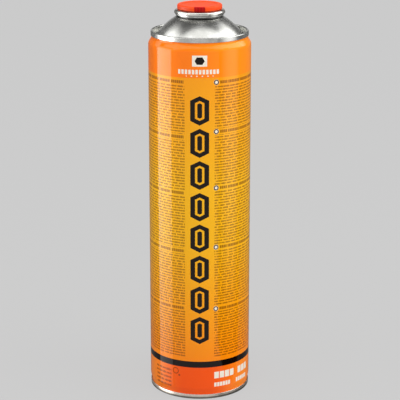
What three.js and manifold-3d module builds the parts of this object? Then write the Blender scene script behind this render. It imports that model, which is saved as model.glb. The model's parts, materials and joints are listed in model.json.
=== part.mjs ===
// A tall self-sealing gas cartridge: a seamed tinplate can, a crimped valve cup and a moulded cap.
// Millimetres, +Z up. The origin is the centre of the ring that the can stands on.
import * as THREE from 'three';
import { mergeVertices } from 'three/addons/utils/BufferGeometryUtils.js';
import Module from 'manifold-3d';

const wasm = await Module();
wasm.setup();

// Can body
const bodyRadius = 32.5;
const canHeight = 236.7; // over both double seams
const seamHeight = 3.1;
const seamThickness = 1.35;
const seamRounding = 0.45;

// Necking of the body under its top seam
const topNeckIn = 1.6; // the seam's face lies this far inside the body's
const topGroove = 0.6; // the neck lies this far inside the seam's face
const topShoulder = 4.4;

// Necking of the body above its bottom seam
const bottomNeckIn = 0.3;
const bottomGroove = 0.5;
const bottomShoulder = 3.6;

// Concave base
const basePanelDepth = 4; // from the standing ring up to the panel's edge
const basePanelRise = 7; // from the panel's edge up to its middle
const basePanelStep = 0.9;

// Top cone
const countersinkDepth = 4;
const countersinkWidth = 1.6;
const coneRise = 9.6; // from the top of the seam to the underside of the mouth's curl
const coneBulge = 1.1; // how far the cone's arc stands out from a straight cone
const neckRounding = 0.8;

// Mouth of the cone, rolled outward
const mouthRadius = 12.7;
const mouthCurlWidth = 2.65;
const mouthCurlHeight = 2;
const mouthOverhang = 1.15; // how far the curl stands out over the cone's neck

// Valve cup, pressed from sheet
const sheet = 0.4;
const seatGap = 0.3; // between any two pieces that seat on each other
const gasketThickness = 0.6;
const gasketWidth = 1.5;
const cupSkirt = 2; // height of the curl's outer wall
const crimpDrop = 2.6; // from the underside of the mouth's curl down to the middle of the crimp
const crimpBulge = 1.1;
const crimpHeight = 2.6;
const floorDrop = 1.9; // from the crimp's lower end down to the cup's floor
const pedestalRadius = 7.6;
const pedestalHeight = 2.4;
const cupRounding = 1.2;

// Threaded valve collar
const threadRadius = 5.56; // 7/16 inch
const collarProud = 1.2; // above the curl's crest
const flangeWidth = 1.1;
const flangeThickness = 0.8;
const collarChamfer = 0.5;
const collarWall = 1.4; // round the well that takes the burner's nose
const wellDepth = 2.2; // down to the seal

// Rubber seal and valve core
const sealThickness = 1.5;
const sealHoleRadius = 1.8;
const ledgeThickness = 1.2;
const coreRadius = 2.9;
const coreLength = 15;
const pinWellRadius = 1.5;
const pinWellDepth = 3;
const pinRadius = 0.6;
const pinLength = 2.2;

// Cap
const capRadius = 14.1;
const capHeadroom = 0.5; // over the collar
const capWall = 1.1;
const capRounding = 1;
const dishMargin = 3.2;
const dishDepth = 0.3;
const plugDepth = 3.6;
const tabWidth = 6.7;
const tabHeight = 2.6;
const tabDepth = 0.75;
const ribCount = 3;
const ribWidth = 0.6;

// Facets
const bodySegments = 56;
const cupSegments = 40;
const smallSegments = 28;
const filletStep = THREE.MathUtils.degToRad(45);

// Heights and radii that follow
const topSeamRadius = bodyRadius - topNeckIn;
const bottomSeamRadius = bodyRadius - bottomNeckIn;
const topChuckRadius = topSeamRadius - seamThickness;
const bottomChuckRadius = bottomSeamRadius - seamThickness;
const mouthZ = canHeight + coneRise;
const mouthTopZ = mouthZ + mouthCurlHeight;
const mouthOuterRadius = mouthRadius + mouthCurlWidth;
const neckRadius = mouthOuterRadius - mouthOverhang;
const gasketZ = mouthTopZ + seatGap;
const curlTopZ = gasketZ + gasketThickness + seatGap + sheet;
const cupWallRadius = mouthRadius - seatGap - sheet / 2; // to the middle of the sheet
const curlRadius = mouthOuterRadius + seatGap + sheet / 2;
const crimpZ = mouthZ - crimpDrop;
const cupFloorZ = crimpZ - crimpHeight / 2 - floorDrop;
const pedestalZ = cupFloorZ + pedestalHeight;
const flangeZ = pedestalZ + sheet / 2 + seatGap;
const collarTopZ = curlTopZ + collarProud;
const wellRadius = threadRadius - collarWall;
const sealZ = collarTopZ - wellDepth - sealThickness;
const ledgeZ = sealZ - seatGap;
const coreTopZ = ledgeZ - ledgeThickness - seatGap;
const coreBoreRadius = coreRadius + seatGap;
const capZ = curlTopZ + seatGap;
const capUndersideZ = collarTopZ + capHeadroom;
const capTopZ = capUndersideZ + capWall + dishDepth;

// A round piece's outline: corners of [radius, height, fillet], each rounded by an arc that is tangent
// to both sides and no longer than half of the shorter one.
function rounded(corners, closed) {
  const points = [];
  const count = corners.length;
  for (let i = 0; i < count; i += 1) {
    const [r, z, fillet = 0] = corners[i];
    const corner = new THREE.Vector2(r, z);
    const isEnd = !closed && (i === 0 || i === count - 1);
    if (isEnd || fillet === 0) {
      points.push(corner);
      continue;
    }
    const before = new THREE.Vector2(...corners[(i + count - 1) % count]).sub(corner);
    const after = new THREE.Vector2(...corners[(i + 1) % count]).sub(corner);
    const half = Math.acos(before.dot(after) / before.length() / after.length()) / 2;
    const reach = Math.min(fillet / Math.tan(half), before.length() / 2, after.length() / 2);
    const radius = reach * Math.tan(half);
    before.normalize();
    after.normalize();
    const middle = before.clone().add(after).setLength(radius / Math.sin(half)).add(corner);
    const from = corner.clone().addScaledVector(before, reach).sub(middle);
    const to = corner.clone().addScaledVector(after, reach).sub(middle);
    const turn = Math.atan2(from.cross(to), from.dot(to));
    const steps = Math.max(1, Math.ceil(Math.abs(turn) / filletStep));
    for (let k = 0; k <= steps; k += 1) {
      points.push(from.clone().rotateAround(new THREE.Vector2(), (turn * k) / steps).add(middle));
    }
  }
  return points;
}

// An arc between two corners of an outline that stands out from their chord by a given height.
function bulged(from, to, height, steps) {
  const a = new THREE.Vector2(...from);
  const b = new THREE.Vector2(...to);
  const chord = b.clone().sub(a);
  const half = chord.length() / 2;
  const radius = (half * half + height * height) / (2 * height);
  const outward = new THREE.Vector2(chord.y, -chord.x).normalize();
  const centre = a.clone().add(b).multiplyScalar(0.5).addScaledVector(outward, height - radius);
  const turn = 2 * Math.asin(half / radius);
  const corners = [];
  for (let k = 0; k <= steps; k += 1) {
    const point = a.clone().rotateAround(centre, (turn * k) / steps);
    corners.push([point.x, point.y]);
  }
  return corners;
}

// The closed outline of pressed sheet that follows a line of corners.
function pressed(corners, thickness) {
  const line = rounded(corners, false);
  const left = [];
  const right = [];
  line.forEach((point, i) => {
    const back = line[Math.max(i - 1, 0)];
    const ahead = line[Math.min(i + 1, line.length - 1)];
    const along = ahead.clone().sub(back).normalize();
    const across = new THREE.Vector2(-along.y, along.x).multiplyScalar(thickness / 2);
    left.push(point.clone().add(across));
    right.push(point.clone().sub(across));
  });
  return [...left, ...right.reverse()];
}

// Turns an outline about Z. One that doesn't start on the axis closes on itself.
function turned(outline, segments) {
  const points = outline.slice();
  if (points[0].x > 0) points.push(points[0].clone());
  const area = THREE.ShapeUtils.area(points);
  if (area < 0) points.reverse();
  return new THREE.LatheGeometry(points, segments).rotateX(Math.PI / 2);
}

function toSolid(geometry) {
  const bare = geometry.clone();
  bare.deleteAttribute('normal');
  bare.deleteAttribute('uv');
  const merged = mergeVertices(bare, 1e-4);
  const vertProperties = new Float32Array(merged.attributes.position.array);
  const triVerts = new Uint32Array(merged.index.array);
  return new wasm.Manifold(new wasm.Mesh({ numProp: 3, vertProperties, triVerts }));
}

function toGeometry(solid) {
  const mesh = solid.getMesh();
  const geometry = new THREE.BufferGeometry();
  geometry.setAttribute('position', new THREE.BufferAttribute(mesh.vertProperties, 3));
  geometry.setIndex(new THREE.BufferAttribute(mesh.triVerts, 1));
  geometry.computeVertexNormals();
  return geometry;
}

// The can as it stands sealed: concave base, bottom seam, body, shoulder, top seam, countersink,
// cone and rolled mouth, with the pocket that the valve cup hangs in.
function canisterOutline() {
  const wallTop = canHeight - seamHeight;
  const topNeck = topSeamRadius - topGroove;
  const bottomNeck = bottomSeamRadius - bottomGroove;
  const panelRadius = bottomChuckRadius - basePanelStep;
  const base = bulged([panelRadius, basePanelDepth], [0, basePanelDepth + basePanelRise], basePanelRise / 4, 6);
  const sinkZ = canHeight - countersinkDepth;
  const coneFoot = topChuckRadius - countersinkWidth;
  const [foot, ...cone] = bulged([coneFoot, sinkZ], [neckRadius, mouthZ - neckRounding], coneBulge, 9);
  const curlRound = mouthCurlHeight / 2;
  const crimpRadius = cupWallRadius + crimpBulge + sheet / 2 + seatGap;
  const pocketFloor = cupFloorZ - sheet / 2 - seatGap;
  return rounded([
    ...base.reverse(),
    [bottomChuckRadius, basePanelDepth, seamRounding],
    [bottomChuckRadius, 0, seamRounding],
    [bottomSeamRadius, 0, seamRounding],
    [bottomSeamRadius, seamHeight, seamRounding],
    [bottomNeck, seamHeight + bottomGroove, seamRounding],
    [bottomNeck, seamHeight + bottomGroove * 2, seamRounding],
    [bodyRadius, seamHeight + bottomGroove + bottomShoulder, bottomShoulder],
    [bodyRadius, wallTop - topShoulder, topShoulder],
    [topNeck, wallTop - topShoulder / 4, topShoulder],
    [topNeck, wallTop, seamRounding / 2],
    [topSeamRadius, wallTop, seamRounding],
    [topSeamRadius, canHeight, seamRounding],
    [topChuckRadius, canHeight, seamRounding],
    [topChuckRadius, sinkZ, countersinkWidth / 2],
    [...foot, countersinkWidth / 2],
    ...cone,
    [neckRadius, mouthZ],
    [mouthOuterRadius, mouthZ, curlRound],
    [mouthOuterRadius, mouthTopZ, curlRound],
    [mouthRadius, mouthTopZ, curlRound],
    [mouthRadius, crimpZ + crimpHeight / 2],
    [crimpRadius, crimpZ + crimpHeight / 4],
    [crimpRadius, pocketFloor],
    [coreBoreRadius, pocketFloor],
    [coreBoreRadius, coreTopZ - coreLength - seatGap],
    [0, coreTopZ - coreLength - seatGap],
  ], false);
}

// The valve cup: a curl over the can's mouth, a wall with its crimp, a floor and a raised pedestal.
function cupOutline() {
  const top = curlTopZ - sheet / 2;
  return pressed([
    [curlRadius, curlTopZ - cupSkirt],
    [curlRadius, top, cupRounding],
    [cupWallRadius, top, cupRounding],
    [cupWallRadius, crimpZ + crimpHeight / 2, crimpHeight / 2],
    [cupWallRadius + crimpBulge, crimpZ, crimpHeight / 2],
    [cupWallRadius, crimpZ - crimpHeight / 2, crimpHeight / 2],
    [cupWallRadius, cupFloorZ, cupRounding],
    [pedestalRadius, cupFloorZ, cupRounding / 2],
    [pedestalRadius, pedestalZ, cupRounding / 2],
    [coreBoreRadius + sheet / 2, pedestalZ],
  ], sheet);
}

function gasketOutline() {
  const middle = (mouthRadius + mouthOuterRadius) / 2;
  const top = gasketZ + gasketThickness;
  return rounded([
    [middle - gasketWidth / 2, gasketZ],
    [middle + gasketWidth / 2, gasketZ],
    [middle + gasketWidth / 2, top],
    [middle - gasketWidth / 2, top],
  ], true);
}

// The collar: a flange on the pedestal, the threaded boss, and a well that ends on an inner ledge.
function collarOutline() {
  const flangeTop = flangeZ + flangeThickness;
  return rounded([
    [coreBoreRadius, flangeZ],
    [threadRadius + flangeWidth, flangeZ],
    [threadRadius + flangeWidth, flangeTop],
    [threadRadius, flangeTop],
    [threadRadius, collarTopZ - collarChamfer],
    [threadRadius - collarChamfer, collarTopZ],
    [wellRadius, collarTopZ],
    [wellRadius, ledgeZ],
    [sealHoleRadius, ledgeZ],
    [sealHoleRadius, ledgeZ - ledgeThickness],
    [coreBoreRadius, ledgeZ - ledgeThickness],
  ], true);
}

function sealOutline() {
  const outer = wellRadius - seatGap;
  return rounded([
    [sealHoleRadius, sealZ],
    [outer, sealZ],
    [outer, sealZ + sealThickness],
    [sealHoleRadius, sealZ + sealThickness],
  ], true);
}

// The closed core, with the pin that a burner presses standing in its well.
function coreOutline() {
  const bottom = coreTopZ - coreLength;
  const wellFloor = coreTopZ - pinWellDepth;
  return rounded([
    [0, bottom],
    [coreRadius, bottom, seamRounding],
    [coreRadius, coreTopZ],
    [pinWellRadius, coreTopZ],
    [pinWellRadius, wellFloor],
    [pinRadius, wellFloor],
    [pinRadius, wellFloor + pinLength],
    [0, wellFloor + pinLength],
  ], false);
}

// The cap: a dished top, a skirt that stands on the curl's crest, and a plug down inside the cup.
function capOutline() {
  const plugOuter = cupWallRadius - sheet / 2 - seatGap;
  const dishRadius = capRadius - dishMargin;
  return rounded([
    [0, capTopZ - dishDepth],
    [dishRadius, capTopZ - dishDepth],
    [dishRadius + dishDepth, capTopZ],
    [capRadius, capTopZ, capRounding],
    [capRadius, capZ],
    [capRadius - capWall, capZ],
    [capRadius - capWall, capUndersideZ],
    [plugOuter, capUndersideZ],
    [plugOuter, capZ - plugDepth],
    [plugOuter - capWall, capZ - plugDepth],
    [plugOuter - capWall, capUndersideZ],
    [0, capUndersideZ],
  ], false);
}

// The pry tab in the front of the skirt: a shallow window with upright ribs left standing in it.
function tabCutters() {
  const pitch = (tabWidth + ribWidth) / (ribCount + 1);
  const slotWidth = pitch - ribWidth;
  const cutters = [];
  for (let i = 0; i <= ribCount; i += 1) {
    const slot = new THREE.BoxGeometry(slotWidth, tabDepth * 2, tabHeight);
    slot.translate((i - ribCount / 2) * pitch, -capRadius, capZ + tabHeight / 2 - seatGap);
    cutters.push(slot);
  }
  return cutters;
}

function capGeometry() {
  let solid = toSolid(turned(capOutline(), cupSegments));
  for (const cutter of tabCutters()) solid = solid.subtract(toSolid(cutter));
  return toGeometry(solid);
}

const printedTinplate = { color: 0xf0801e, roughness: 0.35, metalness: 0.3 };
const bareTinplate = { color: 0xc9c9c6, roughness: 0.25, metalness: 1 };
const rubber = { color: 0x1c1c1c, roughness: 0.8, metalness: 0 };
const redPlastic = { color: 0xe8411c, roughness: 0.4, metalness: 0 };

function piece(name, geometry, finish) {
  const mesh = new THREE.Mesh(geometry, new THREE.MeshStandardMaterial(finish));
  mesh.name = name;
  return mesh;
}

const cartridge = new THREE.Group();
cartridge.name = 'cartridge';
cartridge.add(
  piece('canister', turned(canisterOutline(), bodySegments), printedTinplate),
  piece('valve_cup', turned(cupOutline(), cupSegments), bareTinplate),
  piece('cup_gasket', turned(gasketOutline(), smallSegments), rubber),
  piece('valve_collar', turned(collarOutline(), smallSegments), bareTinplate),
  piece('valve_seal', turned(sealOutline(), smallSegments), rubber),
  piece('valve_core', turned(coreOutline(), smallSegments), bareTinplate),
  piece('cap', capGeometry(), redPlastic),
);

export default cartridge;
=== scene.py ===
# %% [markdown]
# A gas cartridge, dressed for a studio picture. The real one is a can welded and seamed from printed
# tinplate, with a bare cone on top, a valve cup crimped into its mouth and a red cap pressed over the valve.
# The solid model gives every place and size. This file replaces its plain pieces with finer ones that
# follow the same outlines, and gives each its own finish.

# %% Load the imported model
import json
import math

import bmesh
import bpy
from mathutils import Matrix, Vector

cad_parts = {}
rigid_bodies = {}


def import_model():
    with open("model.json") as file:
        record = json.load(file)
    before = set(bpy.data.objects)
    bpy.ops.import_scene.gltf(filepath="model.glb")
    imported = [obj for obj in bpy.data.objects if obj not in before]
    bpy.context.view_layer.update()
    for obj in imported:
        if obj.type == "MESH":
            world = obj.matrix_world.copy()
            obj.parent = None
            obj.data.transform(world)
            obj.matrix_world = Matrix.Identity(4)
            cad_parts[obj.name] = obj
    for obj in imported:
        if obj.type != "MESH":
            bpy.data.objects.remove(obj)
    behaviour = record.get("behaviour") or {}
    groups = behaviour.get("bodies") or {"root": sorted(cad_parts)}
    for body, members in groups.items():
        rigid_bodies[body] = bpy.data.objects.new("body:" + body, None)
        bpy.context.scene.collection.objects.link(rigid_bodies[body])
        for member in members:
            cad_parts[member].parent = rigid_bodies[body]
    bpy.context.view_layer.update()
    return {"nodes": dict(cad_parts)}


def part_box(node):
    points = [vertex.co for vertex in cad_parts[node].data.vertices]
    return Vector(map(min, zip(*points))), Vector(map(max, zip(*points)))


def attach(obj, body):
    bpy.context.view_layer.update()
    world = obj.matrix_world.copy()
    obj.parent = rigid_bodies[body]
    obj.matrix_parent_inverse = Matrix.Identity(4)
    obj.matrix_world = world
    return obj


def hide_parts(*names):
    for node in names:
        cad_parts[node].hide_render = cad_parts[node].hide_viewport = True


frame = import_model()
MM = 0.001

# %% [markdown]
# The camera comes first, because every later choice is judged through it. The photograph looks down on the
# can a little from a short distance, so the base shows as a deep curve and the top as a shallow one.
# A lens with no shift keeps the can in the middle of every other view too.

# %% Camera
CAMERA_DISTANCE = 978.4 * MM
CAMERA_HEIGHT = 409.3 * MM
CAMERA_TILT = 0.2825  # radians below the horizon
LENS = 141.7  # millimetres, on a 36 mm sensor
CAMERA_SIDE = 0.2 * MM

camera_data = bpy.data.cameras.new("camera")
camera_data.lens = LENS
camera_data.sensor_width = 36
camera = bpy.data.objects.new("camera", camera_data)
camera.location = (CAMERA_SIDE, -CAMERA_DISTANCE, CAMERA_HEIGHT)
camera.rotation_euler = (math.pi / 2 - CAMERA_TILT, 0, 0)
bpy.context.collection.objects.link(camera)
bpy.context.scene.camera = camera

# %% [markdown]
# A finish is easiest to read as arithmetic on values that vary over the surface. This small class wraps a
# socket, so that an expression such as 1 - mask makes its own Math node. Colours are mixed and vectors are
# built with nodes of their own, because a Math node would turn a colour grey.


# %% Shader arithmetic
class Value:
    """A number that varies over a surface, with the operators that the finishes use."""

    def __init__(self, finish, socket):
        self.finish = finish
        self.socket = socket

    def math(self, operation, *inputs):
        return self.finish.add("ShaderNodeMath", {"operation": operation}, dict(enumerate(inputs)))

    def __add__(self, other):
        return self.math("ADD", self, other)

    def __sub__(self, other):
        return self.math("SUBTRACT", self, other)

    def __mul__(self, other):
        return self.math("MULTIPLY", self, other)

    def __truediv__(self, other):
        return self.math("DIVIDE", self, other)

    def __mod__(self, other):
        return self.math("FLOORED_MODULO", self, other)

    def __rsub__(self, other):
        return self.math("SUBTRACT", other, self)

    def __gt__(self, other):
        return self.math("GREATER_THAN", self, other)

    def __lt__(self, other):
        return self.math("LESS_THAN", self, other)

    def __abs__(self):
        return self.math("ABSOLUTE", self)

    __radd__ = __add__
    __rmul__ = __mul__

    def floor(self):
        return self.math("FLOOR", self)

    def root(self):
        return self.math("SQRT", self)

    def least(self, other):
        return self.math("MINIMUM", self, other)

    def most(self, other):
        return self.math("MAXIMUM", self, other)

    def between(self, low, high):
        return (self > low) * (self < high)

    def rise(self, low, high):
        """Nought below low, one above high, and smooth between."""
        settings = {"interpolation_type": "SMOOTHSTEP"}
        inputs = {"Value": self, "From Min": low, "From Max": high}
        return self.finish.add("ShaderNodeMapRange", settings, inputs)


class Finish:
    """A material, with its Principled shader and the nodes that feed it."""

    def __init__(self, name):
        self.material = bpy.data.materials.new(name)
        self.material.use_nodes = True
        self.tree = self.material.node_tree
        self.shader = self.tree.nodes["Principled BSDF"]

    def plug(self, socket, value):
        if isinstance(value, Value):
            self.tree.links.new(value.socket, socket)
        else:
            socket.default_value = value

    def add(self, kind, settings, inputs, output=0):
        """Adds any node: its settings first, then the values or links of its sockets."""
        node = self.tree.nodes.new(kind)
        stops = settings.pop("stops", None)
        for key, setting in settings.items():
            setattr(node, key, setting)
        for key, value in inputs.items():
            self.plug(node.inputs[key], value)
        if stops:
            elements = node.color_ramp.elements
            for position, _ in stops[2:]:
                elements.new(position)
            for element, (position, colour) in zip(elements, stops):
                element.position = position
                element.color = (*colour, 1)
        return Value(self, node.outputs[output])

    def set(self, **sockets):
        for name, value in sockets.items():
            self.plug(self.shader.inputs[name.replace("_", " ")], value)

    def place(self):
        """The point on the piece, in millimetres, as three values."""
        point = self.add("ShaderNodeTexCoord", {}, {}, "Object")
        scaled = self.add("ShaderNodeVectorMath", {"operation": "SCALE"}, {0: point, "Scale": 1 / MM})
        split = self.add("ShaderNodeSeparateXYZ", {}, {0: scaled})
        return [Value(self, socket) for socket in split.socket.node.outputs]

    def vector(self, x, y, z=0.0):
        return self.add("ShaderNodeCombineXYZ", {}, {0: x, 1: y, 2: z})

    def chance(self, x, y):
        """A number from 0 to 1 that is the same all over each whole-numbered cell."""
        settings = {"noise_dimensions": "2D"}
        return self.add("ShaderNodeTexWhiteNoise", settings, {"Vector": self.vector(x, y)}, "Value")

    def noise(self, vector, scale, detail=2.0):
        return self.add("ShaderNodeTexNoise", {}, {"Vector": vector, "Scale": scale, "Detail": detail})

    def ramp(self, value, *stops):
        return self.add("ShaderNodeValToRGB", {"stops": list(stops)}, {"Fac": value})

    def mix(self, factor, low, high):
        """Goes from one colour to another."""
        first, second = (c if isinstance(c, Value) else (*c, 1) for c in (low, high))
        return self.add("ShaderNodeMix", {"data_type": "RGBA"}, {0: factor, 6: first, 7: second}, 2)

    def bump(self, height, strength, distance):
        inputs = {"Height": height, "Strength": strength, "Distance": distance}
        return self.add("ShaderNodeBump", {}, inputs)


def linear(red, green, blue):
    """A colour as a screen shows it, 0 to 255, turned into the light that it stands for."""
    shares = (red / 255, green / 255, blue / 255)
    return tuple(((c + 0.055) / 1.055) ** 2.4 if c > 0.0393 else c / 12.92 for c in shares)


# %% [markdown]
# Nearly every piece of the cartridge is round, so they share one way of being made: an outline of corners
# with fillets is turned about the can's axis. Pressed tinplate is drawn as the line that the sheet follows
# and then given its thickness, as a toolmaker draws it.


# %% Outlines and turning
FILLET_STEP = math.radians(15)


def rounded(corners, closed=False):
    """Corners of (radius, height, fillet) become points, with an arc at each fillet."""
    points = []
    count = len(corners)
    for i, corner in enumerate(corners):
        here = Vector(corner[:2])
        fillet = corner[2] if len(corner) > 2 else 0
        if fillet == 0 or (not closed and i in (0, count - 1)):
            points.append(here)
            continue
        before = Vector(corners[i - 1][:2]) - here
        after = Vector(corners[(i + 1) % count][:2]) - here
        half = before.angle(after) / 2
        reach = min(fillet / math.tan(half), before.length / 2, after.length / 2)
        radius = reach * math.tan(half)
        middle = here + (before.normalized() + after.normalized()).normalized() * radius / math.sin(half)
        start = here + before.normalized() * reach - middle
        end = here + after.normalized() * reach - middle
        turn = math.atan2(start.cross(end), start.dot(end))
        steps = max(1, math.ceil(abs(turn) / FILLET_STEP))
        for k in range(steps + 1):
            angle = turn * k / steps
            c, s = math.cos(angle), math.sin(angle)
            points.append(middle + Vector((start.x * c - start.y * s, start.x * s + start.y * c)))
    return points


def bulged(start, end, height, steps):
    """Corners along an arc that stands out from its chord by a height."""
    a, b = Vector(start), Vector(end)
    chord = b - a
    half = chord.length / 2
    radius = (half * half + height * height) / (2 * height)
    outward = Vector((chord.y, -chord.x)).normalized()
    centre = (a + b) / 2 + outward * (height - radius)
    turn = 2 * math.asin(half / radius)
    corners = []
    for k in range(steps + 1):
        c, s = math.cos(turn * k / steps), math.sin(turn * k / steps)
        arm = a - centre
        corners.append((centre.x + arm.x * c - arm.y * s, centre.y + arm.x * s + arm.y * c))
    return corners


def pressed(corners, thickness):
    """The closed outline of a sheet whose middle follows the corners."""
    line = rounded(corners)
    left, right = [], []
    for i, point in enumerate(line):
        along = (line[min(i + 1, len(line) - 1)] - line[max(i - 1, 0)]).normalized()
        across = Vector((-along.y, along.x)) * thickness / 2
        left.append(point + across)
        right.append(point - across)
    return left + right[::-1]


def turned(name, outline, angles, shift=None):
    """Turns a closed outline in millimetres about the axis. shift moves a point in or out as it turns."""
    if sum(a.cross(b) for a, b in zip(outline, outline[1:] + outline[:1])) < 0:
        outline = outline[::-1]  # so that the faces look outwards
    vertices, faces, rings = [], [], []
    for r, z in outline:
        if r < 1e-4:
            rings.append([len(vertices)] * len(angles))
            vertices.append((0, 0, z * MM))
            continue
        rings.append(range(len(vertices), len(vertices) + len(angles)))
        for angle in angles:
            out = r + (shift(r, z, angle) if shift else 0)
            vertices.append((out * math.sin(angle) * MM, -out * math.cos(angle) * MM, z * MM))
    for i, ring in enumerate(rings):
        after = rings[(i + 1) % len(rings)]
        for k in range(len(angles)):
            n = (k + 1) % len(angles)
            face = list(dict.fromkeys((ring[k], ring[n], after[n], after[k])))
            if len(face) > 2:
                faces.append(face)
    mesh = bpy.data.meshes.new(name)
    mesh.from_pydata(vertices, [], faces)
    mesh.validate()
    piece = bpy.data.objects.new(name, mesh)
    bpy.context.collection.objects.link(piece)
    smooth(piece)
    print(name, len(mesh.polygons), "faces")
    return piece


def smooth(piece, angle=math.radians(40)):
    piece.data.shade_smooth()
    piece.data.set_sharp_from_angle(angle=angle)


def even(count):
    """Angles all round the can, from the front."""
    return [2 * math.pi * k / count for k in range(count)]


def dress(piece, finish, slot, *nodes):
    piece.data.materials.append(finish.material)
    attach(piece, "root")
    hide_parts(*nodes)


# %% Sizes of the can
BODY_R = 32.5
CAN_H = 236.7
SEAM_H = 3.1
SEAM_T = 1.35
SEAM_FILLET = 0.45
TOP_SEAM_R = BODY_R - 1.6
TOP_NECK_R = TOP_SEAM_R - 0.6
TOP_SHOULDER = 4.4
BOTTOM_SEAM_R = BODY_R - 0.3
BOTTOM_NECK_R = BOTTOM_SEAM_R - 0.5
BOTTOM_SHOULDER = 3.6

# %% Sizes of the mouth
MOUTH_R = 12.7
MOUTH_OUTER_R = MOUTH_R + 2.65
MOUTH_Z = CAN_H + 9.6
MOUTH_TOP = MOUTH_Z + 2.0

# %% [markdown]
# The metal shows in three places: the bare cone and seams, the base, and the valve cup. Tinplate is bright
# but never a clean mirror. Pressing and turning leave fine rings round the axis, and the tin itself has a
# soft cloudiness, so both go into the roughness and a faint bump. Two places get painted shade: the groove
# under the mouth's roll and the lowest edge of the base seam are painted dark, because the real ones look
# darker than the lights alone make them.


# %% Bare tinplate
# Where the painted shade lies: in the groove under the mouth's roll, and along the lowest edge of the base
# seam.
GROOVE_FOOT = MOUTH_Z - 2.0
GROOVE_DEEP = MOUTH_Z - 0.9
GROOVE_TOP = MOUTH_Z + 0.45
GROOVE_R = MOUTH_OUTER_R - 0.25
FOOT_DARK = 1.1
FOOT_BRIGHT = 1.9
PAINTED_SHADE = (0.04, 0.04, 0.035)


def tinplate(name, dark, light, roughness, rings):
    finish = Finish(name)
    x, y, z = finish.place()
    radius = (x * x + y * y).root()
    turning = finish.noise(finish.vector(radius * rings, z * rings), 1.0, 4.0)
    cloud = finish.noise(finish.vector(x, y, z), 0.14, 3.0)
    metal = finish.mix(cloud.rise(0.35, 0.65), dark, light)
    # Painted shade, mixed into the colour: dark in the groove under the roll and at the foot of the base
    # seam.
    groove_shade = z.rise(GROOVE_FOOT, GROOVE_DEEP) * (z < GROOVE_TOP) * (radius < GROOVE_R)
    foot_edge_shade = 1.0 - z.rise(FOOT_DARK, FOOT_BRIGHT)
    finish.set(
        Base_Color=finish.mix((groove_shade * 0.9).most(foot_edge_shade * 0.79), metal, PAINTED_SHADE),
        Metallic=1.0,
        Roughness=roughness + turning * 0.08 + cloud * 0.1,
        Normal=finish.bump(turning, 0.12, 0.05 * MM),
    )
    return finish


cone_metal = tinplate("bare_tinplate", (0.56, 0.56, 0.53), (0.70, 0.70, 0.67), 0.17, 3.0)
base_metal = tinplate("base_tinplate", (0.70, 0.62, 0.54), (0.84, 0.76, 0.66), 0.18, 3.0)
cup_metal = tinplate("cup_tinplate", (0.62, 0.61, 0.56), (0.78, 0.76, 0.70), 0.12, 4.0)
collar_metal = tinplate("collar_steel", (0.50, 0.49, 0.47), (0.62, 0.61, 0.58), 0.22, 5.0)

# %% [markdown]
# The body's print is one material, because on the real can it is ink on the sheet with no thickness. Each
# ink field is a mask of the height z and the distance s round the can from its front line. Small print is
# shown as rows of plain bars: a cell number picks each bar's length by chance, so nothing can be read. The
# inks of the header and the foot grow lighter round the can; that is painted light, towards the right for
# the header and towards both sides for the foot.

# %% Print layout
PANEL_TOP = 212.3
BAND = (21.9, 26.1)
STRIP_HALF = 9.4  # half the plain strip down the front
COLUMN_END = 66.0  # where the rows of small print stop, towards the back
LINE_PITCH = 1.77
LINE_THICK = 0.62
WORD_PITCH = 4.3
SMALL_DENSITY = 0.72  # how dark the small print lies on the orange
LEFT_HEADS = (209.6, 174.9, 138.8, 100.7, 62.4)
RIGHT_HEADS = (209.4, 178.3, 142.1, 103.2, 61.9)
HEAD_HALF = 0.95  # half the height of a bold row
HEAD_CLEAR = 1.9  # small rows keep this far from a bold one
BULLET_S = STRIP_HALF + 1.1
BULLET_ROOM = 3.6
MOTIF_FOOT = 37.3
MOTIF_PITCH = 20.6
MOTIF_COUNT = 8
MOTIF_HALF_W = 5.9
MOTIF_HALF_H = 9.3
MOTIF_SLOPE = 0.5
MOTIF_RING = 3.0  # how wide the ring is
MOTIF_CORE = 4.4  # how far the core lies inside the outline
PLATE = ((-4.7, 219.5), (4.6, 226.3))
PLATE_MIDDLE = 222.9
HEADER_BARS = (-13.6, 12.8)
HEADER_BAR_ROW = (214.7, 217.5)
HEADER_DOT_Z = 213.5
FOOT_ROWS = ((-33.5, 6.6), (-19.5, 19.6))
FOOT_ROW_PITCH = 2.7
FOOT_ROW_THICK = 0.8
FOOT_WORD_PITCH = 3.4
FOOT_RING = (-16.2, 18.6)
FOOT_DOT = (-13.6, 15.8)
FOOT_BLOCKS = ((9.6, 24.6), (28.2, 39.4))
FOOT_BLOCK_ROW = (13.9, 18.4)
FOOT_BARS = ((9.6, 21.4), (26.5, 38.5))
FOOT_BAR_ROW = (8.2, 11.0)
SEAM_STRIP = 2.6  # half the unprinted strip at the back
# The second header ink and the second foot ink are painted light: the lighter tone that the inks take round
# the can.
HEADER_INK = linear(255, 124, 14)
HEADER_INK_PAINTED_LIGHT = linear(255, 142, 20)
FOOT_INK = linear(248, 84, 0)
FOOT_INK_PAINTED_LIGHT = linear(255, 138, 30)
BLACK_INK = linear(14, 6, 4)
BROWN_INK = linear(104, 50, 6)
WHITE_INK = linear(240, 232, 216)
PANEL_INKS = (
    (0.0, linear(252, 138, 8)),
    (0.18, linear(250, 160, 12)),
    (0.42, linear(246, 180, 18)),
    (0.62, linear(246, 182, 22)),
    (1.0, linear(246, 156, 18)),
)


# %% Ink masks
def nearest(first, *others):
    """The least of several distances."""
    for other in others:
        first = first.least(other)
    return first


def either(first, *others):
    """Inked where any of several masks is."""
    for other in others:
        first = first.most(other)
    return first


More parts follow.
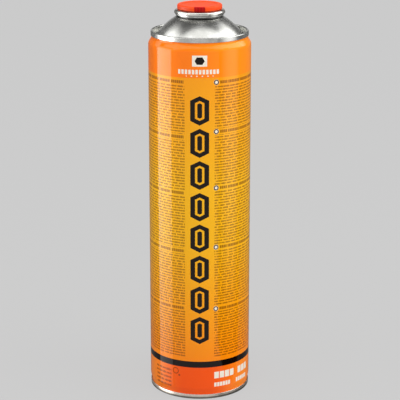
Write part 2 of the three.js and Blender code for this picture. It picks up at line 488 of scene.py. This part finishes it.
def bars(finish, s, z, top, pitch, thick, cell, shift):
    """Rows of small bars of chance lengths, counted down from a top line."""
    down = (top - z) / pitch
    row = down.floor()
    across = s / cell + finish.chance(row, shift) * 9.0
    word = across.floor()
    gap = finish.chance(word, row) * 0.2 + 0.03
    fine = s / (cell * 0.13)
    tall = finish.chance(fine.floor(), row) * 0.16
    inked = ((fine % 1.0) < 0.86) * ((across % 1.0) > gap)
    centre = abs((down % 1.0) - 0.5)
    return inked * (centre < tall + thick / pitch / 2)


def headings(finish, s, z, heads, start):
    """Bolder rows, and the clear room round each, which the small rows keep out of."""
    near = nearest(*(abs(z - head) for head in heads))
    fine = (s - start) / 1.35
    word = ((s - start) / 9.5 + finish.chance(0.0, start) * 3.0) % 1.0
    inked = (near < HEAD_HALF) * ((fine % 1.0) < 0.84) * (word > 0.07)
    return inked, near > HEAD_CLEAR


def hexagons(s, z):
    """A column of long hexagons, each a ring round a solid core."""
    inside = z.between(MOTIF_FOOT, MOTIF_FOOT + MOTIF_PITCH * MOTIF_COUNT)
    along = abs((z - MOTIF_FOOT) % MOTIF_PITCH - MOTIF_PITCH / 2)
    depth = (abs(s) - MOTIF_HALF_W).most(along + abs(s) * MOTIF_SLOPE - MOTIF_HALF_H)
    ring = depth.between(-MOTIF_RING, 0.0)
    core = depth < -MOTIF_CORE
    return inside * ring.most(core)


def away(s, z, centre):
    """How far a point lies from the middle of a dot or ring."""
    across, up = s - centre[0], z - centre[1]
    return (across * across + up * up).root()


def box(s, z, low, high):
    return s.between(low[0], high[0]) * z.between(low[1], high[1])


def dashes(s, span, pitch, ink):
    """Bars of one length in a row."""
    return s.between(*span) * (((s - span[0]) / pitch) % 1.0 < ink)


# %% Printed body
printed = Finish("printed_tinplate")
x, y, z = printed.place()
turn = printed.add("ShaderNodeMath", {"operation": "ARCTAN2"}, {0: x, 1: 0.0 - y})
s = turn * BODY_R

panel = z.between(BAND[1], PANEL_TOP)
height = (z - BAND[1]) / (PANEL_TOP - BAND[1])
# Painted light: the header ink grows lighter towards the right, and the foot ink towards both sides.
header_ink_with_painted_light = printed.mix(s.rise(-14.0, 34.0), HEADER_INK, HEADER_INK_PAINTED_LIGHT)
foot_ink_with_painted_light = printed.mix(abs(s + 2.0).rise(8.0, 36.0), FOOT_INK, FOOT_INK_PAINTED_LIGHT)
ground = printed.mix(panel, header_ink_with_painted_light, printed.ramp(height, *PANEL_INKS))
ground = printed.mix(z < BAND[0], ground, foot_ink_with_painted_light)


def column(side, heads, first):
    """One column of small print, with its bold rows starting a little way in."""
    outward = s * side
    top = heads[0] - HEAD_CLEAR
    small = bars(printed, s, z, top, LINE_PITCH, LINE_THICK, WORD_PITCH, side * 11.0)
    bold, clear = headings(printed, outward, z, heads, STRIP_HALF + first)
    rows = z.between(BAND[1] + 3.0, heads[0] + 2.0)
    ink = (small * clear).most(bold * (outward > STRIP_HALF + first))
    return outward.between(STRIP_HALF, COLUMN_END) * rows * ink


foot_top = FOOT_ROWS[1][1]
foot_rows = bars(printed, s, z, foot_top, FOOT_ROW_PITCH, FOOT_ROW_THICK, FOOT_WORD_PITCH, 5.0)
foot_rows = foot_rows * box(s, z, *FOOT_ROWS)
foot_ring = abs(away(s, z, FOOT_RING) - 1.9) < 0.3
foot_dot = away(s, z, FOOT_DOT) < 0.7
brown = either(
    column(-1.0, LEFT_HEADS, 0.0), column(1.0, RIGHT_HEADS, BULLET_ROOM), foot_rows, foot_ring, foot_dot
)

bullets = nearest(*(away(s, z, (BULLET_S, head)) for head in RIGHT_HEADS))
header_bars = dashes(s, HEADER_BARS, 2.2, 0.66) * z.between(*HEADER_BAR_ROW)
header_dots = (abs((s / 3.4) % 1.0 - 0.5) < 0.12) * (abs(z - HEADER_DOT_Z) < 0.35) * (abs(s) < 8.5)
foot_blocks = either(*(dashes(s, span, 3.8, 0.84) for span in FOOT_BLOCKS)) * z.between(*FOOT_BLOCK_ROW)
foot_bars = either(*(dashes(s, span, 2.0, 0.8) for span in FOOT_BARS)) * z.between(*FOOT_BAR_ROW)
white = either(box(s, z, *PLATE), header_bars, header_dots, foot_blocks, foot_bars, bullets < 1.7)

up = abs(z - PLATE_MIDDLE)
plate_hexagon = (abs(s) + up * 0.6 < 3.1) * (up < 2.3)
black = either(hexagons(s, z), plate_hexagon, z.between(*BAND), bullets.between(0.95, 1.6))

inked = printed.mix(brown * SMALL_DENSITY, ground, BROWN_INK)
inked = printed.mix(white, inked, WHITE_INK)
inked = printed.mix(black, inked, BLACK_INK)
bare = abs(s) > math.pi * BODY_R - SEAM_STRIP
mottle = printed.noise(printed.vector(x, y, z), 0.6, 4.0)
orange_peel = printed.noise(printed.vector(x, y, z), 1.8, 2.0)
printed.set(
    Base_Color=printed.mix(bare, inked, (0.55, 0.54, 0.50)),
    Metallic=0.12 + bare * 0.75,
    Roughness=0.3 + mottle * 0.12,
    Specular_IOR_Level=0.0,
    Coat_Weight=1.0 - bare * 0.6,
    Coat_Roughness=0.05,
    Coat_IOR=1.36,
    Normal=printed.bump(orange_peel, 0.05, 0.05 * MM),
)
print("inks on the body:", len(printed.tree.nodes), "nodes")

# %% [markdown]
# Three pieces make the can. The body is a tube that is necked in at both ends. Both ends are pressed sheet
# whose rim is folded with the body's into a double seam, so their outlines follow the real fold: up the
# chuck wall, over the rim, down outside, and hooked back under.

# %% Can body
SHEET = 0.3
WELD_HALF = 1.3  # degrees
WELD_RISE = 0.12
WELD_CLEAR = 2.1  # degrees each side that take the weld's own closer steps
weld_angles = [math.pi + math.radians(WELD_HALF * k / 4) for k in range(-6, 7)]
plain_angles = [round(a, 6) for a in even(240) if abs(a - math.pi) > math.radians(WELD_CLEAR)]
WALL_TOP = CAN_H - SEAM_H


def weld(r, z, angle):
    """The side seam: two edges of sheet lap and are welded, which leaves a low ridge up the back."""
    off = abs(angle - math.pi) / math.radians(WELD_HALF)
    return WELD_RISE * max(0.0, 1 - off * off) if r > TOP_NECK_R - 0.1 else 0


body_line = [
    (BOTTOM_NECK_R - SHEET / 2, 0.8),
    (BOTTOM_NECK_R - SHEET / 2, SEAM_H + 1.0, SEAM_FILLET),
    (BODY_R - SHEET / 2, SEAM_H + 0.5 + BOTTOM_SHOULDER, BOTTOM_SHOULDER),
    (BODY_R - SHEET / 2, WALL_TOP - TOP_SHOULDER, TOP_SHOULDER),
    (TOP_NECK_R - SHEET / 2, WALL_TOP - TOP_SHOULDER / 4, TOP_SHOULDER),
    (TOP_NECK_R - SHEET / 2, WALL_TOP + 2.2),
]
body = turned("can_body", pressed(body_line, SHEET), sorted(plain_angles + weld_angles), weld)
dress(body, printed, "printed_tinplate", "canister")

# %% Top end
CONE_NECK_R = MOUTH_OUTER_R - 1.15
COUNTERSINK = 4.0
chuck = TOP_SEAM_R - SEAM_T + SHEET / 2
foot = (TOP_SEAM_R - SEAM_T - 1.6, CAN_H - COUNTERSINK)
cone = bulged(foot, (CONE_NECK_R, MOUTH_Z - 0.8), 1.1, 24)
seam_out = TOP_SEAM_R - SHEET / 2
top_line = [
    (TOP_NECK_R + SHEET, WALL_TOP + 2.0),
    (TOP_NECK_R + SHEET, WALL_TOP + SHEET / 2, 0.12),
    (seam_out, WALL_TOP + SHEET / 2, SEAM_FILLET),
    (seam_out, CAN_H - SHEET / 2, 0.7),
    (chuck, CAN_H - SHEET / 2, SEAM_FILLET),
    (chuck, CAN_H - COUNTERSINK, 0.8),
    (*cone[0], 0.8),
    *cone[1:-1],
    (*cone[-1], 0.6),
    (CONE_NECK_R, MOUTH_Z + SHEET / 2, 0.3),
    (MOUTH_OUTER_R - SHEET / 2, MOUTH_Z + SHEET / 2, 1.0),
    (MOUTH_OUTER_R - SHEET / 2, MOUTH_TOP - SHEET / 2, 1.0),
    (MOUTH_R + SHEET / 2, MOUTH_TOP - SHEET / 2, 1.0),
    (MOUTH_R + SHEET / 2, MOUTH_Z - 1.0),
]
top_end = turned("top_end", pressed(top_line, SHEET), even(192))
dress(top_end, cone_metal, "bare_tinplate", "canister")

# %% Base end
PANEL_DEPTH = 4.0
PANEL_RISE = 7.0
base_chuck = BOTTOM_SEAM_R - SEAM_T + SHEET / 2
base_out = BOTTOM_SEAM_R - SHEET / 2
dome = bulged((base_chuck - 0.9, PANEL_DEPTH), (0, PANEL_DEPTH + PANEL_RISE), PANEL_RISE / 4, 20)
base_line = [
    (BOTTOM_NECK_R + SHEET, 1.2),
    (BOTTOM_NECK_R + SHEET, SEAM_H - SHEET / 2, 0.12),
    (base_out, SEAM_H - SHEET / 2, 1.4),
    (base_out, SHEET / 2, SEAM_FILLET),
    (base_chuck, SHEET / 2, SEAM_FILLET),
    (base_chuck, PANEL_DEPTH, SEAM_FILLET),
    (*dome[0], SEAM_FILLET),
    *dome[1:],
]
base_outline = pressed(base_line, SHEET)
for point in base_outline:
    point.x = max(point.x, 0.0)
base_end = turned("base_end", base_outline, even(192))
dress(base_end, base_metal, "bare_tinplate", "canister")

# %% [markdown]
# The valve cup is pressed from thin sheet, curled over the mouth and crimped out below it. Its thread
# collar and seal stay hidden while the cap is on, but they are there for anyone who takes the part apart.

# %% Valve cup
CUP_SHEET = 0.4
SEAT = 0.3
CURL_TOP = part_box("valve_cup")[1].z / MM
CUP_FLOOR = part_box("valve_cup")[0].z / MM + CUP_SHEET / 2
WALL_R = MOUTH_R - SEAT - CUP_SHEET / 2
CURL_R = MOUTH_OUTER_R + SEAT + CUP_SHEET / 2
CRIMP_Z = MOUTH_Z - 2.6
PEDESTAL_R = 7.6
PEDESTAL_Z = CUP_FLOOR + 2.4
CORE_BORE = 3.2
BEAD_R = 1.6
BEAD = (CURL_R - BEAD_R, CURL_TOP - CUP_SHEET / 2 - BEAD_R)
bead_turns = [math.radians(-14 + 104 * k / 10) for k in range(11)]
cup_line = [
    *((BEAD[0] + BEAD_R * math.cos(a), BEAD[1] + BEAD_R * math.sin(a)) for a in bead_turns),
    (WALL_R, CURL_TOP - CUP_SHEET / 2, 1.2),
    (WALL_R, CRIMP_Z + 1.3, 1.3),
    (WALL_R + 1.1, CRIMP_Z, 1.3),
    (WALL_R, CRIMP_Z - 1.3, 1.3),
    (WALL_R, CUP_FLOOR, 1.2),
    (PEDESTAL_R, CUP_FLOOR, 0.6),
    (PEDESTAL_R, PEDESTAL_Z, 0.6),
    (CORE_BORE + CUP_SHEET / 2, PEDESTAL_Z),
]
cup = turned("crimped_cup", pressed(cup_line, CUP_SHEET), even(160))
dress(cup, cup_metal, "bare_tinplate", "valve_cup")

# %% Threaded collar
THREAD_R = 5.56
THREAD_PITCH = 25.4 / 28
THREAD_DEPTH = 0.5
THREAD_ROWS = 84
collar_low, collar_high = (corner.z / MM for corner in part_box("valve_collar"))
FLANGE_TOP = collar_low + 0.8
WELL_R = THREAD_R - 1.4
LEDGE_Z = collar_high - 2.2 - 1.5 - SEAT
thread_step = (collar_high - 0.5 - FLANGE_TOP) / THREAD_ROWS
thread_wall = [(THREAD_R, FLANGE_TOP + thread_step * k) for k in range(THREAD_ROWS + 1)]
collar_outline = [
    Vector(corner)
    for corner in (
        (CORE_BORE, collar_low),
        (THREAD_R + 1.1, collar_low),
        (THREAD_R + 1.1, FLANGE_TOP),
        *thread_wall,
        (THREAD_R - 0.5, collar_high),
        (WELL_R, collar_high),
        (WELL_R, LEDGE_Z),
        (1.8, LEDGE_Z),
        (1.8, LEDGE_Z - 1.2),
        (CORE_BORE, LEDGE_Z - 1.2),
    )
]


def thread(r, z, angle):
    """A screw thread: the wall sinks and rises with height, a little later for each step round."""
    if abs(r - THREAD_R) > 1e-4 or z < FLANGE_TOP + 0.6 or z > collar_high - 0.55:
        return 0
    phase = ((z / THREAD_PITCH) - angle / (2 * math.pi)) % 1
    return -THREAD_DEPTH * min(1, max(0, 1.5 * abs(2 * phase - 1) - 0.25))


collar = turned("threaded_collar", collar_outline, even(72), thread)
dress(collar, collar_metal, "bare_tinplate", "valve_collar")

# %% [markdown]
# The gasket is a thin band round the mouth's roll, and its edge shows as a dark line under the cup's curl:
# partly the real black gasket, and partly a dark band let out to stand in for the shade under the curl.
# The seal and the core keep their solid shapes, which are right already, and only take a finish. Black
# rubber is matt with a fine grain and a dusty bloom.

# %% Rubber
rubber = Finish("rubber")
x, y, z = rubber.place()
grain = rubber.noise(rubber.vector(x, y, z), 3.0, 4.0)
rubber.set(
    Base_Color=rubber.mix(grain, (0.012, 0.012, 0.012), (0.035, 0.034, 0.032)),
    Roughness=0.62 + grain * 0.2,
    Normal=rubber.bump(grain, 0.2, 0.05 * MM),
)
# The gasket's lower edge reaches out below the cup's curl, so that its dark edge also stands in for the
# shade there.
GASKET_T = 0.24
GASKET_R = MOUTH_OUTER_R + 0.14
GASKET_TOP = MOUTH_TOP + 0.45
gasket_line = [(GASKET_R, MOUTH_TOP - 1.0), (GASKET_R, GASKET_TOP, 0.5), (MOUTH_R + 0.9, GASKET_TOP)]
gasket = turned("rubber_gasket", pressed(gasket_line, GASKET_T), even(128))
dress(gasket, rubber, "rubber", "cup_gasket")
for node, finish in (("valve_seal", rubber), ("valve_core", collar_metal)):
    part = frame["nodes"][node]
    part.data.materials.clear()
    part.data.materials.append(finish.material)

# %% [markdown]
# The cap is moulded plastic: a shallow dish on top, a skirt that stands on the cup's curl, and a small
# ribbed window in front where a thumb lifts it off. The window is cut from the turned shape, and the strip
# of the skirt that holds the window and its ribs is painted a darker red, as painted shade in the recess.

# %% Cap
CAP_R = 14.1
CAP_WALL = 1.1
TAB_W = 6.7
TAB_H = 2.6
TAB_DEPTH = 0.75
RIBS = 3
RIB_W = 0.6

red_plastic = Finish("cap_plastic")
x, y, z = red_plastic.place()
grain = red_plastic.noise(red_plastic.vector(x, y, z), 2.2, 4.0)
scuff = red_plastic.noise(red_plastic.vector(x * 0.4, y * 2.0, z), 0.9, 5.0)
# Painted shade: the front strip with the window and its ribs is coloured a darker red for the shade in the
# recess.
window = (abs(x) < TAB_W / 2 + 0.05) * (y < 1.7 - CAP_R)
red = red_plastic.mix(grain, linear(238, 66, 6), linear(246, 80, 10))
red_plastic.set(
    Base_Color=red_plastic.mix(window, red, linear(192, 0, 0)),
    Specular_IOR_Level=0.2,
    Roughness=0.34 + scuff * 0.16,
    Normal=red_plastic.bump(grain, 0.06, 0.05 * MM),
    Subsurface_Weight=0.12,
    Subsurface_Scale=0.0012,
)

cap_low, cap_top = (corner.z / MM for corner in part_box("cap"))
CAP_Z = CURL_TOP + SEAT
CAP_UNDER = cap_top - CAP_WALL - 0.3
PLUG_R = WALL_R - CUP_SHEET / 2 - SEAT
cap_line = [
    (0, cap_top - 0.3),
    (CAP_R - 3.2, cap_top - 0.3, 0.3),
    (CAP_R - 2.7, cap_top, 0.3),
    (CAP_R, cap_top, 1.0),
    (CAP_R, CAP_Z, 0.15),
    (CAP_R - CAP_WALL, CAP_Z, 0.15),
    (CAP_R - CAP_WALL, CAP_UNDER, 0.2),
    (PLUG_R, CAP_UNDER, 0.2),
    (PLUG_R, cap_low, 0.3),
    (PLUG_R - CAP_WALL, cap_low, 0.2),
    (PLUG_R - CAP_WALL, CAP_UNDER, 0.2),
    (0, CAP_UNDER),
]
cap = turned("lift_off_cap", rounded(cap_line), even(128))

pitch = (TAB_W + RIB_W) / (RIBS + 1)
slots = bmesh.new()
for k in range(RIBS + 1):
    corners = bmesh.ops.create_cube(slots, size=1)["verts"]
    size = Vector((pitch - RIB_W, 2 * TAB_DEPTH, TAB_H)) * MM
    place = Vector(((k - RIBS / 2) * pitch, -CAP_R, CAP_Z + TAB_H / 2 - SEAT)) * MM
    for corner in corners:
        corner.co = Vector(a * b for a, b in zip(corner.co, size)) + place
cutter_mesh = bpy.data.meshes.new("tab_cutter")
slots.to_mesh(cutter_mesh)
slots.free()
cutter = bpy.data.objects.new("tab_cutter", cutter_mesh)
bpy.context.collection.objects.link(cutter)
cut = cap.modifiers.new("window", "BOOLEAN")
cut.object = cutter
cut.operation = "DIFFERENCE"
cut.solver = "EXACT"
edge = cap.modifiers.new("soft edges", "BEVEL")
edge.width = 0.09 * MM
edge.segments = 2
edge.limit_method = "ANGLE"
edge.angle_limit = math.radians(50)
bpy.context.view_layer.update()
shaped = bpy.data.meshes.new_from_object(cap.evaluated_get(bpy.context.evaluated_depsgraph_get()))
cap.modifiers.clear()
cap.data = shaped
bpy.data.objects.remove(cutter)
smooth(cap)
print("cap with its window:", len(cap.data.polygons), "faces")
dress(cap, red_plastic, "cap_plastic", "cap")

# %% [markdown]
# The picture is a studio cut-out on plain grey. The floor shows the camera that grey and keeps a little of
# its own shading, so that the can has a soft shadow where it stands. Reflections pass through the floor to
# the world, and so the tall panel at the side runs on down past the base. From below the floor is clear, so
# that the base can be looked at.

# %% Floor
GREY = linear(204, 204, 204)[0]
floor_finish = Finish("floor")
camera_ray = floor_finish.add("ShaderNodeLightPath", {}, {}, "Is Camera Ray")
diffuse_ray = floor_finish.add("ShaderNodeLightPath", {}, {}, "Is Diffuse Ray")
under = floor_finish.add("ShaderNodeNewGeometry", {}, {}, "Backfacing")
SHADED = 0.14  # the share of the grey that takes shadow
FLOOR_LIGHT = 1.22  # what the lamps and the sky lay on the floor together
floor_finish.set(
    Base_Color=floor_finish.mix(camera_ray, (0.4, 0.4, 0.4), (GREY * SHADED / FLOOR_LIGHT,) * 3),
    Roughness=1.0,
    Specular_IOR_Level=0.0,
    Emission_Color=floor_finish.mix(camera_ray, (0.0, 0.0, 0.0), (GREY * (1 - SHADED),) * 3),
    Emission_Strength=1.0,
    Alpha=camera_ray.most(diffuse_ray) * (1.0 - under),
)
floor_mesh = bpy.data.meshes.new("floor")
floor_mesh.from_pydata([(-9, -9, 0), (9, -9, 0), (9, 9, 0), (-9, 9, 0)], [], [(0, 1, 2, 3)])
floor = bpy.data.objects.new("floor", floor_mesh)
floor.location.z = -0.05 * MM
floor.data.materials.append(floor_finish.material)
bpy.context.collection.objects.link(floor)

# %% [markdown]
# A wide box in front and above and a very soft sun from the right light the can. Four panels show in the
# gloss only. The long pale stripe down the left of the can is the tall one out at that side, and the ink
# beside the stripe is the darkest on the can, so it must not light the ink. A weaker panel stands on the
# right, and two high ones open the lower half of the cone.


# %% Lights
def lamp(kind, name, place, target, **settings):
    """A lamp at a place in metres that looks at a target."""
    data = bpy.data.lights.new(name, kind)
    for key, setting in settings.items():
        setattr(data, key, setting)
    placed = bpy.data.objects.new(name, data)
    placed.location = place
    placed.rotation_euler = (Vector(target) - Vector(place)).to_track_quat("-Z", "Y").to_euler()
    bpy.context.collection.objects.link(placed)
    return placed


def glow_panel(name, place, target, size, radiance, side, foot):
    """A panel that shows in the gloss only. Its light fades to the sides, to the foot and to the top."""
    w, h = size[0] / 2, size[1] / 2
    finish = Finish(name)
    x, y, z = finish.place()
    across, up = x * (MM / w), y * (MM / h)
    glow = (1.0 - abs(across).rise(side, 1.0)) * ((up + 1.0) * 0.5).rise(*foot) * (1.0 - up.rise(0.1, 1.0))
    finish.set(
        Base_Color=(0, 0, 0, 1),
        Specular_IOR_Level=0.0,
        Emission_Color=finish.vector(glow, glow, glow),
        Emission_Strength=radiance,
    )
    mesh = bpy.data.meshes.new(name)
    mesh.from_pydata([(-w, -h, 0), (w, -h, 0), (w, h, 0), (-w, h, 0)], [], [(0, 1, 2, 3)])
    mesh.materials.append(finish.material)
    panel = bpy.data.objects.new(name, mesh)
    panel.location = place
    panel.rotation_euler = (Vector(target) - Vector(place)).to_track_quat("Z", "Y").to_euler()
    for kind in ("camera", "diffuse", "transmission", "volume_scatter", "shadow"):
        setattr(panel, "visible_" + kind, False)
    bpy.context.collection.objects.link(panel)


SUN_SPREAD = math.radians(50)
TOP_SIZE = (2.6, 0.8)
TOP_RADIANCE = 1.5
side_light = lamp("SUN", "side_light", (1.1, -0.36, 0.3), (0, 0, 0), energy=0.92, angle=SUN_SPREAD)
side_light.visible_glossy = False
top_power = TOP_RADIANCE * math.pi * TOP_SIZE[0] * TOP_SIZE[1]
top_box = lamp("AREA", "top_box", (0.1, -0.45, 1.24), (0.1, -0.45, 0), shape="RECTANGLE", energy=top_power)
top_box.data.size, top_box.data.size_y = TOP_SIZE
top_box.rotation_euler.z += math.radians(8)
for name, place, target, size, radiance, side, foot in (
    ("left_panel", (-1.0, -0.07, 0.05), (0, 0, 0.05), (0.84, 1.6), 5.8, 0.8, (-0.1, 0.7)),
    ("right_panel", (1.1, -0.35, 0.2), (0, 0, 0.2), (1.3, 1.6), 1.5, 0.15, (0.05, 0.35)),
    ("left_wall", (-1.0, -0.12, 0.95), (0, -0.12, 0.24), (2.3, 1.3), 2.2, 0.4, (0.0, 0.15)),
    ("right_wall", (1.0, -0.05, 0.95), (0, -0.05, 0.24), (2.5, 1.3), 3.4, 0.4, (0.0, 0.15)),
):
    glow_panel(name, place, target, size, radiance, side, foot)

# %% [markdown]
# The camera and anything seen through a clear piece get the background's plain grey. The gloss gets it in
# full only in front, up to a little above the horizon, and close to straight behind the can. Elsewhere it is
# darker: towards the ceiling, a little at the sides and straight below, and most behind the sides, like the
# black cards of a studio. That draws the metal and the can's edges, and it means that the metal mirrors the
# background in part only. The sky lights the ink evenly from all round.

# %% World
world = bpy.data.worlds.new("studio")
bpy.context.scene.world = world
world.use_nodes = True
sky = world.node_tree


def sky_node(kind, **settings):
    node = sky.nodes.new(kind)
    for key, setting in settings.items():
        setattr(node, key, setting)
    return node


def sky_ramp(value, *stops):
    """A grey level that follows a value from 0 to 1."""
    node = sky_node("ShaderNodeValToRGB")
    for position, _ in stops[2:]:
        node.color_ramp.elements.new(position)
    for element, (position, level) in zip(node.color_ramp.elements, stops):
        element.position = position
        element.color = (level, level, level, 1)
    sky.links.new(value, node.inputs["Fac"])
    return node.outputs["Color"]


def sky_mix(factor, low, high, blend="MIX"):
    node = sky_node("ShaderNodeMix", data_type="RGBA", blend_type=blend)
    for index, value in ((0, factor), (6, low), (7, high)):
        if isinstance(value, bpy.types.NodeSocket):
            sky.links.new(value, node.inputs[index])
        else:
            node.inputs[index].default_value = value if index == 0 else (value, value, value, 1)
    return node.outputs[2]


direction = sky_node("ShaderNodeTexCoord")
halved = sky_node("ShaderNodeVectorMath", operation="MULTIPLY_ADD")  # from -1...1 to 0...1
halved.inputs[1].default_value = halved.inputs[2].default_value = (0.5, 0.5, 0.5)
axes = sky_node("ShaderNodeSeparateXYZ")
ray = sky_node("ShaderNodeLightPath")
sky.links.new(direction.outputs["Generated"], halved.inputs[0])
sky.links.new(halved.outputs[0], axes.inputs[0])
CEILING = 0.10
CARDS = 0.26
INK_LIGHT = 0.98
upward = sky_ramp(axes.outputs["Z"], (0.60, GREY), (0.88, CEILING))
cards = sky_ramp(axes.outputs["Y"], (0.44, 1.0), (0.66, CARDS), (0.97, CARDS), (0.99, 1.0))
studio = sky_mix(1.0, upward, cards, "MULTIPLY")
lit = sky_mix(ray.outputs["Is Glossy Ray"], INK_LIGHT, studio)
through = sky_mix(ray.outputs["Is Transmission Ray"], lit, GREY)
shown = sky_mix(ray.outputs["Is Camera Ray"], through, GREY)
sky.links.new(shown, sky.nodes["Background"].inputs["Color"])
bpy.context.scene.view_settings.view_transform = "Standard"
